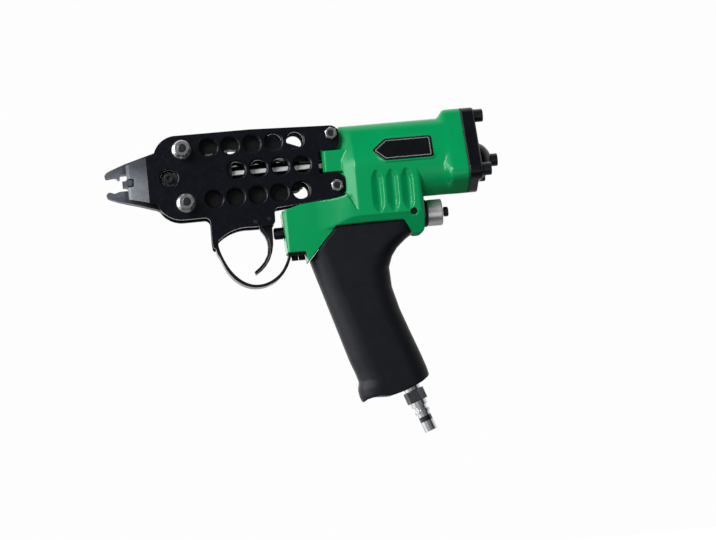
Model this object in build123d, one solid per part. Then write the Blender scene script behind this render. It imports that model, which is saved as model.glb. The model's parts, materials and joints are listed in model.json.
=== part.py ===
from build123d import *
import math
import os

os.makedirs("parts", exist_ok=True)

# ---------------------------------------------------------------- dimensions
# Layout frame (mm): X along the rod axis, +X to the rear, jaws towards -X,
# +Z up, Y across, X = 0 and Z = 0 at the rod axis between the jaw pivots.
# The part's own origin is the grip centre, and every node is moved there.
GRIP_X, GRIP_Z = 126.0, -112.0

GAP = 11.0            # half the gap between the side plates
PLATE_T = 4.0         # side plate thickness
PLATE_OUT = GAP + PLATE_T
HOLE_R = 6.2          # lightening holes
HOLE_CH = 1.35        # their chamfer

PIVOT_Z = 20.0        # jaw pivots, above and below the rod axis
PIVOT_BOLT_R = 4.0    # bolt shank, and the thread under the nut
PIVOT_THREAD_R = 3.2
NUT_AF = 10.6
NUT_H = 11.4          # pivot nuts
JAW_T = 7.0           # half thickness of a jaw arm
HUB_R = 9.6
HUB_HALF = 10.7
JAW_CLOSE = 3.6       # degrees each jaw turns to close
STROKE = 26.0         # piston travel

ROD_R = 6.0
ROD_TIP_X = 30.0
CAM_T = 3.0           # half thickness of the cam plate
ROLLER_R = 5.0
ROLLER_X = 82.0
ROLLER_PIN_R = 2.5
CAM_H0 = 6.6          # cam half height under the roller at rest
CAM_X0, CAM_X1 = 78.0, 110.0

BODY_R = 22.5         # barrel: lower arc, and half width across the skirt
BODY_LOW_Z = -6.5
BODY_TOP_R = 12.4     # barrel: upper arc
BODY_TOP_Z = 16.6
BODY_W = BODY_R
BODY_FRONT, BODY_REAR = 118.6, 211.9
SHOULDER_X = 127.2    # where the tapering front shoulders reach the full width
SHOULDER_TOP_R, SHOULDER_LOW_R = 8.2, 16.6   # upper and lower arcs where the shoulders start
BORE_R = 17.0
BORE_FRONT = 131.0
BLOCK_W = 16.5        # half width of the valve block
SCREWS = [(0.0, 28.6), (-21.0, -14.5), (21.0, -14.5)]   # rear cap screws
LOBES = [(0.0, 27.6), (-21.0, -14.5), (21.0, -14.5)]    # rounded corners of the rear flange
LOBE_R = 7.6
FLANGE_RAMP = [(192.8 + 6.6 * s / 7, (s / 7) ** 2 * (3 - 2 * s / 7)) for s in range(8)]   # rise of the ramps in front of the flange
GASKET_T = 0.8
CAP_T = 9.4
CAP_STEP = 3.0        # how much thinner the cap is below its corners

VALVE_Z = -42.0       # main valve axis
TRIG_Z = -47.5        # trigger valve axis
EARS = [(112.0, 22.6), (113.2, -16.8)]
TRIG_PX, TRIG_PZ = 60.7, -37.2
DEFL_Z = -6.0

PLUG_X, PLUG_Z, PLUG_LEAN = 155.2, -170.75, 19.5
GRIP_LEAN = 16.0
SPRING_X = 31.5       # jaw springs

C, MN = Align.CENTER, Align.MIN


# ------------------------------------------------------------------- helpers
def cx(x0, x1, r, y=0.0, z=0.0):
    return Pos(x0, y, z) * Rot(0, 90, 0) * Cylinder(r, x1 - x0, align=(C, C, MN))


def cy(y0, y1, r, x=0.0, z=0.0):
    return Pos(x, y0, z) * Rot(-90, 0, 0) * Cylinder(r, y1 - y0, align=(C, C, MN))


def cz(z0, z1, r, x=0.0, y=0.0):
    return Pos(x, y, z0) * Cylinder(r, z1 - z0, align=(C, C, MN))


def box(x0, x1, y0, y1, z0, z1):
    return Pos((x0 + x1) / 2, (y0 + y1) / 2, (z0 + z1) / 2) * Box(x1 - x0, y1 - y0, z1 - z0)


def hexx(x0, x1, af, y=0.0, z=0.0, rot=0.0):
    return Pos(x0, y, z) * Rot(0, 90, 0) * extrude(RegularPolygon(af / 2, 6, major_radius=False, rotation=rot), x1 - x0)


def hexy(y0, y1, af, x=0.0, z=0.0, rot=0.0):
    return Pos(x, y0, z) * Rot(-90, 0, 0) * extrude(RegularPolygon(af / 2, 6, major_radius=False, rotation=rot), y1 - y0)


def poly_xz(pts, y0, y1):
    f = make_face(Polyline(*[(x, y0, z) for x, z in pts], close=True))
    return extrude(f, y1 - y0, dir=(0, 1, 0))


def poly_xy(pts, z0, z1):
    f = make_face(Polyline(*[(x, y, z0) for x, y in pts], close=True))
    return extrude(f, z1 - z0, dir=(0, 0, 1))


def poly_yz(pts, x0, x1):
    f = make_face(Polyline(*[(x0, y, z) for y, z in pts], close=True))
    return extrude(f, x1 - x0, dir=(1, 0, 0))


def rev_x(pts, y=0.0, z=0.0):
    f = make_face(Polyline(*[(x, r, 0) for x, r in pts], close=True))
    return Pos(0, y, z) * revolve(f, Axis.X, 360)


def tube_x(x0, x1, ro, ri, y=0.0, z=0.0):
    return cx(x0, x1, ro, y, z) - cx(x0 - 1, x1 + 1, ri, y, z)


def shave(s, point, normal):
    """Take away everything of s on the normal's side of the plane."""
    big = Plane(origin=point, z_dir=normal) * Pos(0, 0, 300) * Box(900, 900, 600)
    return s - big


def chain(items, y):
    """Closed outline in XZ at depth y. items: points, or ("arc", mid, end)."""
    edges, cur = [], items[0]
    for it in items[1:]:
        if it[0] == "arc":
            edges.append(ThreePointArc((cur[0], y, cur[1]), (it[1][0], y, it[1][1]), (it[2][0], y, it[2][1])))
            cur = it[2]
        else:
            edges.append(Line((cur[0], y, cur[1]), (it[0], y, it[1])))
            cur = it
    edges.append(Line((cur[0], y, cur[1]), (items[0][0], y, items[0][1])))
    return make_face(edges)


def coil(x0, x1, radius, wire, turns, y=0.0, z=0.0):
    """Coil spring along X, its wire's outside between x0 and x1."""
    h = (x1 - x0) - 2 * wire
    path = Helix(pitch=h / turns, height=h, radius=radius)
    prof = Plane(origin=path @ 0, z_dir=path % 0) * Circle(wire)
    s = sweep(prof, path=path, is_frenet=True)
    return Pos(x0 + wire, y, z) * Rot(0, 90, 0) * s


def socket_head_x(x0, x1, head_r, head_h, shank_r, y=0.0, z=0.0, key=5.0):
    """Socket head screw along X: shank from x0, head ends at x1."""
    s = cx(x0, x1 - head_h, shank_r, y, z) + cx(x1 - head_h, x1, head_r, y, z)
    e = s.edges().filter_by(GeomType.CIRCLE).sort_by(Axis.X)[-1:]
    s = fillet(e, 0.6)
    return s - hexx(x1 - head_h * 0.55, x1 + 1, key, y, z)


NODES = {}


def emit(name, *solids):
    out = []
    for s in solids:
        m = Pos(-GRIP_X, 0, -GRIP_Z) * s
        out.extend(m.solids())
    NODES[name] = out


# ------------------------------------------------------------------- housing
w = BODY_W
flank = math.asin((BODY_R - BODY_TOP_R) / (BODY_TOP_Z - BODY_LOW_Z))   # lean of the barrel's sides


def body_face(x):
    """Barrel section: a small arc on top, a large one below, leaning sides between."""
    cs, sn = math.cos(flank), math.sin(flank)
    ty, tz = BODY_TOP_R * cs, BODY_TOP_Z + BODY_TOP_R * sn
    by, bz = BODY_R * cs, BODY_LOW_Z + BODY_R * sn
    e = [
        ThreePointArc((x, -ty, tz), (x, 0, BODY_TOP_Z + BODY_TOP_R), (x, ty, tz)),
        Line((x, ty, tz), (x, by, bz)),
        ThreePointArc((x, by, bz), (x, 0, BODY_LOW_Z - BODY_R), (x, -by, bz)),
        Line((x, -by, bz), (x, -ty, tz)),
    ]
    return make_face(e)


def lobe_face(x, k=1.0):
    """Rounded triangle of the rear cap, its corners drawn in by k."""
    pts = [(y * k, z * k) for y, z in LOBES]
    nrm = []
    for a in range(3):
        (y0, z0), (y1, z1) = pts[a], pts[(a + 1) % 3]
        dy, dz = y1 - y0, z1 - z0
        n = math.hypot(dy, dz)
        nrm.append((dz / n, -dy / n))
    e = []
    for a in range(3):
        (y0, z0), (n0, n1), (m0, m1) = pts[a], nrm[a - 1], nrm[a]
        b0, b1 = n0 + m0, n1 + m1
        b = math.hypot(b0, b1)
        p0 = (x, y0 + LOBE_R * n0, z0 + LOBE_R * n1)
        pm = (x, y0 + LOBE_R * b0 / b, z0 + LOBE_R * b1 / b)
        p1 = (x, y0 + LOBE_R * m0, z0 + LOBE_R * m1)
        e.append(ThreePointArc(p0, pm, p1))
        q = pts[(a + 1) % 3]
        e.append(Line(p1, (x, q[0] + LOBE_R * m0, q[1] + LOBE_R * m1)))
    return make_face(e)


def flange_face(x, t=1.0):
    """Rear flange outline: the rounded triangle drawn tangent round the barrel's lower arc. t draws its corners in."""
    zt = 21.2 + (LOBES[0][1] - 21.2) * t
    k = 0.69 + 0.31 * t
    rc = BODY_R - 2.5 + 2.62 * t
    ay, az = LOBES[2][0] * k, LOBES[2][1] * k
    # side line from the top corner to the lower corner
    dy, dz = ay, az - zt
    n = math.hypot(dy, dz)
    sy, sz = -dz / n, dy / n
    # lower line from the corner to the barrel's arc
    uy, uz = ay, az - BODY_LOW_Z
    base = math.atan2(uz, uy) - math.acos((rc - LOBE_R) / math.hypot(uy, uz))
    ly, lz = math.cos(base), math.sin(base)
    mid = (math.atan2(sz, sy) + base) / 2

    def at(cy_, cz_, r, ny, nz, sgn):
        return (x, sgn * (cy_ + r * ny), cz_ + r * nz)

    top_l, top_r = at(0, zt, LOBE_R, sy, sz, -1), at(0, zt, LOBE_R, sy, sz, 1)
    a_r, a_l = at(ay, az, LOBE_R, sy, sz, 1), at(ay, az, LOBE_R, sy, sz, -1)
    m_r, m_l = at(ay, az, LOBE_R, math.cos(mid), math.sin(mid), 1), at(ay, az, LOBE_R, math.cos(mid), math.sin(mid), -1)
    b_r, b_l = at(ay, az, LOBE_R, ly, lz, 1), at(ay, az, LOBE_R, ly, lz, -1)
    c_r, c_l = at(0, BODY_LOW_Z, rc, ly, lz, 1), at(0, BODY_LOW_Z, rc, ly, lz, -1)
    return make_face([
        ThreePointArc(top_l, (x, 0, zt + LOBE_R), top_r),
        Line(top_r, a_r), ThreePointArc(a_r, m_r, b_r), Line(b_r, c_r),
        ThreePointArc(c_r, (x, 0, BODY_LOW_Z - rc), c_l),
        Line(c_l, b_l), ThreePointArc(b_l, m_l, a_l), Line(a_l, top_l),
    ])


def shoulder_face(x, t):
    """Section through barrel and skirt together, drawn in evenly all round: t = 1 is the full section."""
    rt = SHOULDER_TOP_R + (BODY_TOP_R - SHOULDER_TOP_R) * t
    rl = SHOULDER_LOW_R + (BODY_R - SHOULDER_LOW_R) * t
    zt = BODY_TOP_Z + BODY_TOP_R - rt
    lean = math.asin((rl - rt) / (zt - BODY_LOW_Z))
    cs, sn = math.cos(lean), math.sin(lean)
    ty, tz = rt * cs, zt + rt * sn
    by, bz = rl * cs, BODY_LOW_Z + rl * sn
    my, mz = rl * math.cos(lean / 2), BODY_LOW_Z + rl * math.sin(lean / 2)
    ey, ez = rl, BODY_LOW_Z
    return make_face([
        ThreePointArc((x, -ty, tz), (x, 0, zt + rt), (x, ty, tz)),
        Line((x, ty, tz), (x, by, bz)), ThreePointArc((x, by, bz), (x, my, mz), (x, ey, ez)),
        Line((x, ey, ez), (x, ey, -46.4)), Line((x, ey, -46.4), (x, -ey, -46.4)), Line((x, -ey, -46.4), (x, -ey, ez)),
        ThreePointArc((x, -ey, ez), (x, -my, mz), (x, -by, bz)), Line((x, -by, bz), (x, -ty, tz)),
    ])


body = extrude(body_face(SHOULDER_X), BODY_REAR - SHOULDER_X, dir=(1, 0, 0))

# skirt below the barrel, and the tang behind the grip
skirt = box(SHOULDER_X, 176.8, -w, w, -44.0, BODY_LOW_Z) + box(SHOULDER_X, 160.6, -w, w, -46.4, -43.0)
tang = poly_xz([(150, -30), (150, -46.4), (160.6, -46.4), (166.6, -56.4), (168.4, -57.5), (172.6, -57.5),
                (174.8, -56.4), (175.9, -54.0), (176.8, -44), (176.8, -30)], -w, w)
low = skirt + tang
for sgn in (-1, 1):
    low = shave(low, (0, sgn * w, -41.0), (0, sgn * 17.0, -11.5))
low = low & (Pos(100.0, 0, -100.0) * extrude(RectangleRounded(153.6, 2 * w, 4.5), 120.0))

# front shoulders, tapering towards the side plates
shoulders = loft([shoulder_face(BODY_FRONT, 0.0), shoulder_face(SHOULDER_X, 1.0)], ruled=True)
for sgn in (-1, 1):
    shoulders = shave(shoulders, (0, sgn * w, -41.0), (0, sgn * 17.0, -11.5))
    # seat for the side plate's lower ear
    seat = chain([(100.0, -6.2), (113.2, -6.2), ("arc", (118.1, -8.5), (120.0, -13.4)), (119.6, -19.6), ("arc", (117.3, -24.3), (111.5, -25.9)), (100.0, -25.9)], sgn * (GAP - 0.02))
    shoulders = shoulders - extrude(seat, 20.0, dir=(0, sgn, 0))
body = body + low + shoulders

# valve block under the side plates, flaring out into the skirt
lower_pts = [(70.0, -32.4), (71.8, -63.6), (85.3, -63.6), (86.7, -71.6), (110.0, -46.8), (128.0, -46.4), (128.0, -41.0),
             (119.6, -23.6), (117.8, -25.1), (111.0, -26.3), (99.0, -27.2), (84.0, -28.6)]
block = poly_xz(lower_pts, -BLOCK_W, BLOCK_W)
# bevel the block's front uprights
for sgn in (-1, 1):
    block = block - poly_xy([(60, sgn * (BLOCK_W - 2.6)), (70.6, sgn * (BLOCK_W - 2.6)), (73.4, sgn * (BLOCK_W + 0.1)), (60, sgn * (BLOCK_W + 3))], -80, -20)
side = [Spline((90.0, sgn * (BLOCK_W - 0.3), -70.0), (100.0, sgn * (BLOCK_W + 0.55), -70.0), (112.0, sgn * (BLOCK_W + 3.0), -70.0), (128.0, sgn * w, -70.0), tangents=((1, 0, 0), (1, 0, 0))) for sgn in (-1, 1)]
flare = extrude(make_face([side[0], Line((128.0, -w, -70.0), (131.0, -w, -70.0)), Line((131.0, -w, -70.0), (131.0, w, -70.0)), Line((131.0, w, -70.0), (128.0, w, -70.0)), side[1],
                           Line((90.0, BLOCK_W - 0.3, -70.0), (90.0, 0.3 - BLOCK_W, -70.0))]), 55.0, dir=(0, 0, 1))
flare = flare & poly_xz([(91.0, -67.07), (110.0, -46.8), (131.0, -46.4), (131.0, -42.0), (127.6, -40.5), (119.6, -23.6), (117.8, -25.1), (111.0, -26.3), (99.0, -27.2), (91.0, -27.95)], -30, 30)
for sgn in (-1, 1):
    flare = shave(flare, (0, sgn * w, -41.0), (0, sgn * 17.0, -11.5))
front_block = poly_xz([(104.4, 27.4), (119.0, 27.4), (119.0, -28.0), (104.4, -28.0)], -GAP, GAP)
front_block = chamfer([e for e in front_block.edges() if e.center().X < 107 and abs(e.center().Y) > 5], 1.5)
front_block = chamfer([e for e in front_block.edges() if e.center().Z > 27.3 and abs(e.center().Y) > 10.9], 5.4)
# boss between the plates' ears, level with their outer faces
boss = box(104.0, 122.0, -PLATE_OUT + 0.6, PLATE_OUT - 0.6, -6.0, 10.2)
boss = chamfer([e for e in boss.edges() if e.center().X < 104.1 and abs(e.center().Y) > 10], 2.2)
# keel under the main valve, covered by the sleeve
def keel_solid(grow=0.0):
    kb = [(-11.2 - grow, -44.0), (-11.2 - grow, -48.5), (-7.2 - grow * 0.4, -53.0 - grow), (7.2 + grow * 0.4, -53.0 - grow), (11.2 + grow, -48.5), (11.2 + grow, -44.0)]
    return poly_yz(kb, 116.0 - grow, 163.5 + grow)


shell = body + block + flare + front_block + boss + keel_solid()

# grip core: a leaning rounded column inside the sleeve
ga = math.radians(GRIP_LEAN)
gdir = (math.sin(ga), 0.0, -math.cos(ga))
core_plane = Plane(origin=(110.5, 0, -44.0), x_dir=(math.cos(ga), 0, math.sin(ga)), z_dir=gdir)
CORE_L = 132.0


def core_solid(grow=0.0, length=CORE_L):
    return core_plane * extrude(RectangleRounded(36.0 + 2 * grow, 24.0 + 2 * grow, 10.5 + grow), length)


pa = math.radians(PLUG_LEAN)
pdir = (math.sin(pa), 0.0, -math.cos(pa))


def plug_at(s):
    return (PLUG_X + s * pdir[0], 0.0, PLUG_Z + s * pdir[2])


def plug_cyl(s0, s1, r):
    return Plane(origin=plug_at(s0), x_dir=(math.cos(pa), 0, math.sin(pa)), z_dir=pdir) * Cylinder(r, s1 - s0, align=(C, C, MN))


INLET_R = 11.2        # boss round the air inlet
shell = shell + core_solid() + plug_cyl(-34.0, 0.0, INLET_R)

# three-cornered rear flange with hollowed ramps in front of its corners
shell = shell + loft([flange_face(x, t) for x, t in FLANGE_RAMP], ruled=True)
shell = shell + extrude(flange_face(FLANGE_RAMP[-1][0]), BODY_REAR - FLANGE_RAMP[-1][0], dir=(1, 0, 0))

# flutes on both sides of the skirt: grooves that run out at both ends
FLUTE_W, FLUTE_D, FLUTE_OUT = 5.4, 2.9, 0.6
for sgn in (-1, 1):
    for fx in (142.3, 153.5, 164.7):
        rows = []
        for fz, k in ((-41.4, 0.10), (-38.6, 0.60), (-34.4, 0.95), (-31.0, 1.0), (-17.5, 1.0), (-14.0, 0.95), (-10.0, 0.60), (-7.4, 0.10)):
            low, top = sgn * (w - k * (FLUTE_D + FLUTE_OUT) + FLUTE_OUT), sgn * (w + FLUTE_OUT)
            rows.append(make_face(Polyline((fx - FLUTE_W * k, top, fz), (fx + FLUTE_W * k, top, fz), (fx + 2.6 * k, low, fz), (fx + 0.8 * k, low, fz), close=True)))
        shell = shell - loft(rows, ruled=True)

# flat pad and recess for the nameplate on the near side
PAD_D = BODY_TOP_Z * math.sin(flank) + BODY_TOP_R + 0.2
LABEL = [(141.0, -2.4), (152.0, 7.2), (187.0, 7.2), (187.0, -11.9), (150.2, -11.9)]
label_plane = Plane(origin=(0, -PAD_D * math.cos(flank), PAD_D * math.sin(flank)), x_dir=(1, 0, 0), z_dir=(0, -math.cos(flank), math.sin(flank)))


def label_slab(d0, d1, grow=0.0):
    f = make_face(Polyline(*LABEL, close=True))
    f = fillet(f.vertices(), 2.2)
    if grow:
        f = offset(f, grow)
    return label_plane * Pos(0, 0, d0) * extrude(f, d1 - d0)


shell = shell + label_slab(-3.2, 0.0, 1.1) - label_slab(-0.5, 2.0)

# bores and passages
shell = shell - cx(BORE_FRONT, BODY_REAR + 1, BORE_R)
shell = shell - cx(100, BORE_FRONT + 1, 6.7) - cx(118.5, BORE_FRONT + 1, 10.0)
shell = shell - box(100, 113.0, -3.5, 3.5, -12.6, 12.6)
shell = shell - cx(127.0, 180, 8.5, 0, VALVE_Z)
shell = shell - cx(60, 104.0, 6.5, 0, TRIG_Z)
for ex, ez in EARS:
    shell = shell - cy(-20, 20, 2.5, ex, ez)
shell = shell - cy(-30, 30, 2.6, 168.4, VALVE_Z + 0.6)
for by, bz in SCREWS:
    shell = shell - cx(198.5, BODY_REAR + 1, 3.0, by, bz)
GUARD_SCREW_X = (77.5, 82.8)
for gx in GUARD_SCREW_X:
    shell = shell - cz(-66, -56.5, 1.5, gx, 0)
# air chamber in the grip, feeds to both valves, the cylinder port and the side passage to the rear
shell = shell - plug_cyl(-26.0, 10.0, 8.5) - (core_plane * Pos(3.5, 0, 28.0) * Cylinder(7.0, 84.0, align=(C, C, MN)))
shell = shell - cz(-72.0, TRIG_Z, 3.5, 99.0) - (core_plane * Pos(-14.0, 0, 18.0) * Rot(0, 45, 0) * Cylinder(3.0, 22.0, align=(C, C, MN)))
shell = shell - cz(-80.0, VALVE_Z, 4.5, 132.0)
shell = shell - cx(103.0, 128.0, 1.6, 0, TRIG_Z + 3.0)
shell = shell - cz(VALVE_Z, -24.0, 3.0, 150.0) - cx(149.0, BODY_REAR + 1, 2.0, 0, -25.3)
# flat bottom of the grip core
shell = shave(shell, plug_at(-4.5), pdir)
emit("housing", shell)

# -------------------------------------------------------------------- sleeve
ST = [(-44.0, 84.2, 173.0, 16.4), (-56.0, 85.2, 168.0, 16.2), (-60.0, 85.9, 161.8, 16.2), (-66.0, 87.0, 154.8, 16.2), (-72.0, 88.7, 150.4, 16.3), (-80.0, 91.0, 147.4, 16.6),
      (-95.0, 95.5, 148.0, 17.1), (-112.0, 100.5, 152.3, 17.6), (-130.0, 105.8, 158.6, 18.0), (-147.0, 110.8, 164.8, 18.0),
      (-158.0, 114.8, 168.4, 18.0), (-164.0, 116.6, 169.7, 18.0), (-170.0, 115.4, 170.9, 18.0), (-175.0, 116.2, 171.4, 17.6),
      (-182.0, 118.8, 171.6, 17.2)]
faces = []
for z, xf, xr, hw in ST:
    faces.append(Plane(origin=((xf + xr) / 2, 0, z)) * RectangleRounded(xr - xf, 2 * hw, hw * 0.9))
sleeve = loft(faces, ruled=True)
sleeve = sleeve - poly_xz([(50, -20), (220, -20), (220, -58.0), (167.6, -57.9), (165.9, -56.6), (160.4, -46.8), (110.2, -47.2), (86.9, -72.0), (50, -72.0)], -40, 40)
sleeve = sleeve - poly_xz([(100, -179.4), (119.0, -179.4), (121.5, -177.6), (128.5, -176.1), (139.0, -176.6), (149.1, -174.1), (157.0, -171.0),
                           (163.4, -167.9), (168.4, -164.4), (170.0, -162.0), (185, -158), (185, -200), (100, -200)], -40, 40)
inner_core = core_solid(0.1, CORE_L + 30) + plug_cyl(-34.2, 0.0, INLET_R + 0.1)
inner_core = shave(inner_core, plug_at(-4.4), pdir) + plug_cyl(-5.0, 14.0, 9.4)
sleeve = sleeve - inner_core - keel_solid(0.1)
emit("grip_sleeve", sleeve)

# --------------------------------------------------------------- side plates
OUTLINE = [
    (-42.6, 12.2), (-21.0, 18.3), ("arc", (-15.3, 26.9), (-5.5, 30.9)), (52.0, 31.0), (111.0, 28.9),
    ("arc", (116.4, 26.7), (118.2, 22.0)), (118.0, 16.2), ("arc", (116.2, 12.6), (112.0, 11.2)), (102.6, 10.8),
    ("arc", (101.6, 10.4), (101.2, 9.4)), (101.0, -5.2), ("arc", (101.4, -6.3), (102.4, -6.7)), (112.8, -6.7),
    ("arc", (117.7, -8.9), (119.6, -13.6)), (119.2, -19.4), ("arc", (117.0, -23.9), (111.5, -25.4)), (99.0, -26.4),
    (68.6, -29.1), ("arc", (66.0, -30.0), (65.0, -32.3)), (64.8, -38.4), ("arc", (63.7, -41.0), (61.2, -42.1)), (46.5, -42.0),
    ("arc", (32.4, -43.6), (21.3, -50.2)), (20.9, -54.6), ("arc", (19.0, -55.9), (17.0, -54.2)), (16.6, -50.0), (16.8, -37.0),
    ("arc", (15.6, -33.4), (12.0, -32.2)), (-3.5, -32.3), ("arc", (-13.5, -29.2), (-20.6, -21.4)), (-21.6, -19.0), (-42.0, -13.4),
]
HOLES = [(19.9 + 16.2 * i, 20.15) for i in range(5)] + [(39.3 + 16.4 * i, 1.5) for i in range(4)] + [(20.9 + 16.3 * i, -18.5 + 0.15 * i) for i in range(5)]
NOSE_HOLE = (-11.3, -0.3)


def side_plate(sgn):
    y0 = GAP if sgn > 0 else -PLATE_OUT
    p = extrude(chain(OUTLINE, y0), PLATE_T, dir=(0, 1, 0))
    yo = sgn * PLATE_OUT
    for hx, hz in HOLES + [NOSE_HOLE]:
        p = p - cy(-30, 30, HOLE_R, hx, hz)
        cone = Pos(hx, yo, hz) * Rot(90 * sgn, 0, 0) * Cone(HOLE_R + HOLE_CH, HOLE_R, HOLE_CH, align=(C, C, MN))
        p = p - cone
    for sg in (-1, 1):
        p = p - cy(-30, 30, PIVOT_BOLT_R, 0, sg * PIVOT_Z)
    for ex, ez in EARS:
        p = p - cy(-30, 30, 2.5, ex, ez)
    p = p - cy(-30, 30, 1.5, TRIG_PX, TRIG_PZ) - cy(-30, 30, 1.5, 50.2, -38.5)
    # ground bevel on the nose
    bev = [(-27.0, sgn * (PLATE_OUT + 0.01)), (-40.2, sgn * (GAP + 2.15)), (-43.0, sgn * (GAP - 0.05)), (-50, sgn * (GAP - 0.05)), (-50, sgn * (PLATE_OUT + 2)), (-27.0, sgn * (PLATE_OUT + 2))]
    p = p - poly_xy(bev, -60, 60)
    # nose slot
    slot = box(-50, -38.8, -30, 30, -4.4, 1.9) + cy(-30, 30, 1.6, -38.8, 0.3) + cy(-30, 30, 1.6, -38.8, -2.8) + box(-38.9, -37.2, -30, 30, -2.8, 0.3)
    p = p - slot
    return p


emit("left_side_plate", side_plate(-1))
emit("right_side_plate", side_plate(1))

# ---------------------------------------------------------- jaws and rollers
d = math.radians(JAW_CLOSE)


def solve_cam():
    """Cam slope that lifts the roller through the jaw's closing angle over the stroke."""
    t = math.tan(math.radians(11.0))
    for _ in range(40):
        rz = CAM_H0 + ROLLER_R / math.cos(math.atan(t)) + 0.06
        vx, vz = ROLLER_X, rz - PIVOT_Z
        nx = vx * math.cos(d) - vz * math.sin(d)
        nz = vz * math.cos(d) + vx * math.sin(d)
        t = (nz - vz) / (STROKE + (nx - vx))
    return t, rz


CAM_TAN, ROLL_Z = solve_cam()


def cam_h(x):
    return CAM_H0 + CAM_TAN * (x - ROLLER_X)


UP_FRONT = [(-58.9, 6.7), (-58.7, 4.9), (-57.9, 4.3), (-56.6, 4.35), (-54.9, 4.65), (-52.6, 4.95), (-51.2, 4.75), (-50.3, 4.2), (-49.5, 3.25), (-48.9, 3.05),
            (-48.0, 3.05), (-47.7, 3.5), (-47.5, 6.3), (-22.0, 6.7), (-14.0, 9.0), (-7.6, 14.0)]
UP_ARM = [(7.6, 14.4), (12.0, 15.6), (20.0, 16.2), (36.0, 18.0), (42.0, 17.4), (50.0, 14.0), (60.0, 11.2), (72.0, 8.6), (77.0, 7.2)]
LO_ARM = [(7.6, -14.4), (12.0, -12.6), (40.0, -12.6), (56.0, -11.8), (72.0, -8.6), (77.0, -7.2)]
UP_TOP = [(88.8, 15.6), (78.0, 19.9), (68.0, 24.4), (60.0, 27.0), (52.0, 28.2), (45.0, 28.6), (20.0, 29.2), (0.0, 29.6), (-8.0, 27.6), (-15.0, 23.6), (-21.4, 20.0), (-31.4, 17.2), (-42.9, 13.9), (-54.4, 10.0), (-57.4, 8.6)]
LO_FRONT = [(-58.6, -8.6), (-58.3, -7.5), (-57.2, -6.5), (-56.2, -6.15), (-55.2, -6.2), (-53.7, -6.9), (-52.4, -7.4), (-51.4, -7.3), (-49.9, -6.7),
            (-48.2, -6.35), (-46.0, -6.3), (-22.0, -6.7), (-14.0, -9.0), (-7.6, -14.0)]
LO_BOT = [(88.6, -14.8), (79.5, -17.8), (76.6, -19.9), (73.0, -22.5), (69.0, -24.0), (60.5, -26.2), (45.0, -28.2), (20.0, -28.9), (0.0, -29.6), (-9.0, -28.4), (-16.0, -25.6), (-22.2, -22.0), (-34.5, -18.0), (-49.1, -13.8), (-55.6, -11.4), (-57.8, -10.3)]


def jaw(sgn):
    if sgn > 0:
        pts = UP_FRONT + UP_ARM + UP_TOP
    else:
        pts = LO_FRONT + LO_ARM + LO_BOT
    j = poly_xz(pts, -JAW_T, JAW_T)
    j = j + cy(-HUB_HALF, HUB_HALF, HUB_R, 0, sgn * PIVOT_Z)
    j = j + cy(-JAW_T, JAW_T, 6.1, ROLLER_X, sgn * ROLL_Z)
    j = j - cy(-20, 20, 5.5, 0, sgn * PIVOT_Z)
    j = j - (box(75.6, 95, -CAM_T - 0.3, CAM_T + 0.3, -30, 30))
    j = j - cy(-20, 20, ROLLER_PIN_R, ROLLER_X, sgn * ROLL_Z)
    if sgn < 0:
        j = j - cz(-16.2, -10.0, 3.4, SPRING_X)
    # thinner gripping tips
    for s in (-1, 1):
        j = j - poly_xy([(-70, s * 4.6), (-58.0, s * 4.6), (-44.5, s * JAW_T), (-44.5, s * 20), (-70, s * 20)], -40, 40)
    # groove along the tip that cradles the ring wire
    if sgn > 0:
        j = j - cx(-60, -50.6, 1.3, 0, 4.1)
    else:
        j = j - cx(-60, -48.0, 1.3, 0, -6.0)
    return j


emit("upper_jaw", jaw(1))
emit("lower_jaw", jaw(-1))
for nm, sgn in (("upper", 1), ("lower", -1)):
    emit(nm + "_jaw_bush", cy(-HUB_HALF, HUB_HALF, 5.5, 0, sgn * PIVOT_Z) - cy(-20, 20, PIVOT_BOLT_R + 0.05, 0, sgn * PIVOT_Z))
    emit(nm + "_roller", cy(-CAM_T + 0.05, CAM_T - 0.05, ROLLER_R, ROLLER_X, sgn * ROLL_Z) - cy(-20, 20, ROLLER_PIN_R + 0.05, ROLLER_X, sgn * ROLL_Z))
    emit(nm + "_roller_pin", cy(-JAW_T, JAW_T, ROLLER_PIN_R, ROLLER_X, sgn * ROLL_Z))

# pivot bolts: hex heads on the far side, flanged nuts on the near side
bolts, nuts = [], []
for sgn in (-1, 1):
    z = sgn * PIVOT_Z
    b = cy(-PLATE_OUT, PLATE_OUT, PIVOT_BOLT_R, 0, z) + hexy(PLATE_OUT, PLATE_OUT + 5.3, 13.0, 0, z)
    end = cy(-PLATE_OUT - NUT_H - 1.2, -PLATE_OUT + 1.0, PIVOT_THREAD_R, 0, z)
    b = b + chamfer(end.edges().filter_by(GeomType.CIRCLE).sort_by(Axis.Y)[:1], 0.7)
    bolts.append(b)
    n = hexy(-PLATE_OUT - NUT_H, -PLATE_OUT - 1.0, NUT_AF, 0, z, 8) + cy(-PLATE_OUT - 1.4, -PLATE_OUT, 7.3, 0, z) + Pos(0, -PLATE_OUT - 1.4, z) * Rot(90, 0, 0) * Cone(7.3, 5.4, 2.2, align=(C, C, MN))
    rim = Pos(0, -PLATE_OUT - NUT_H, z) * Rot(-90, 0, 0) * Cone(5.2, 8.2, 3.0, align=(C, C, MN))
    n = n & (rim + cy(-PLATE_OUT - NUT_H + 3.0, -PLATE_OUT, 8.2, 0, z))
    nuts.append(n - cy(-40, 0, PIVOT_THREAD_R, 0, z))
emit("jaw_pivot_bolts", *bolts)
emit("jaw_pivot_nuts", *nuts)

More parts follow.
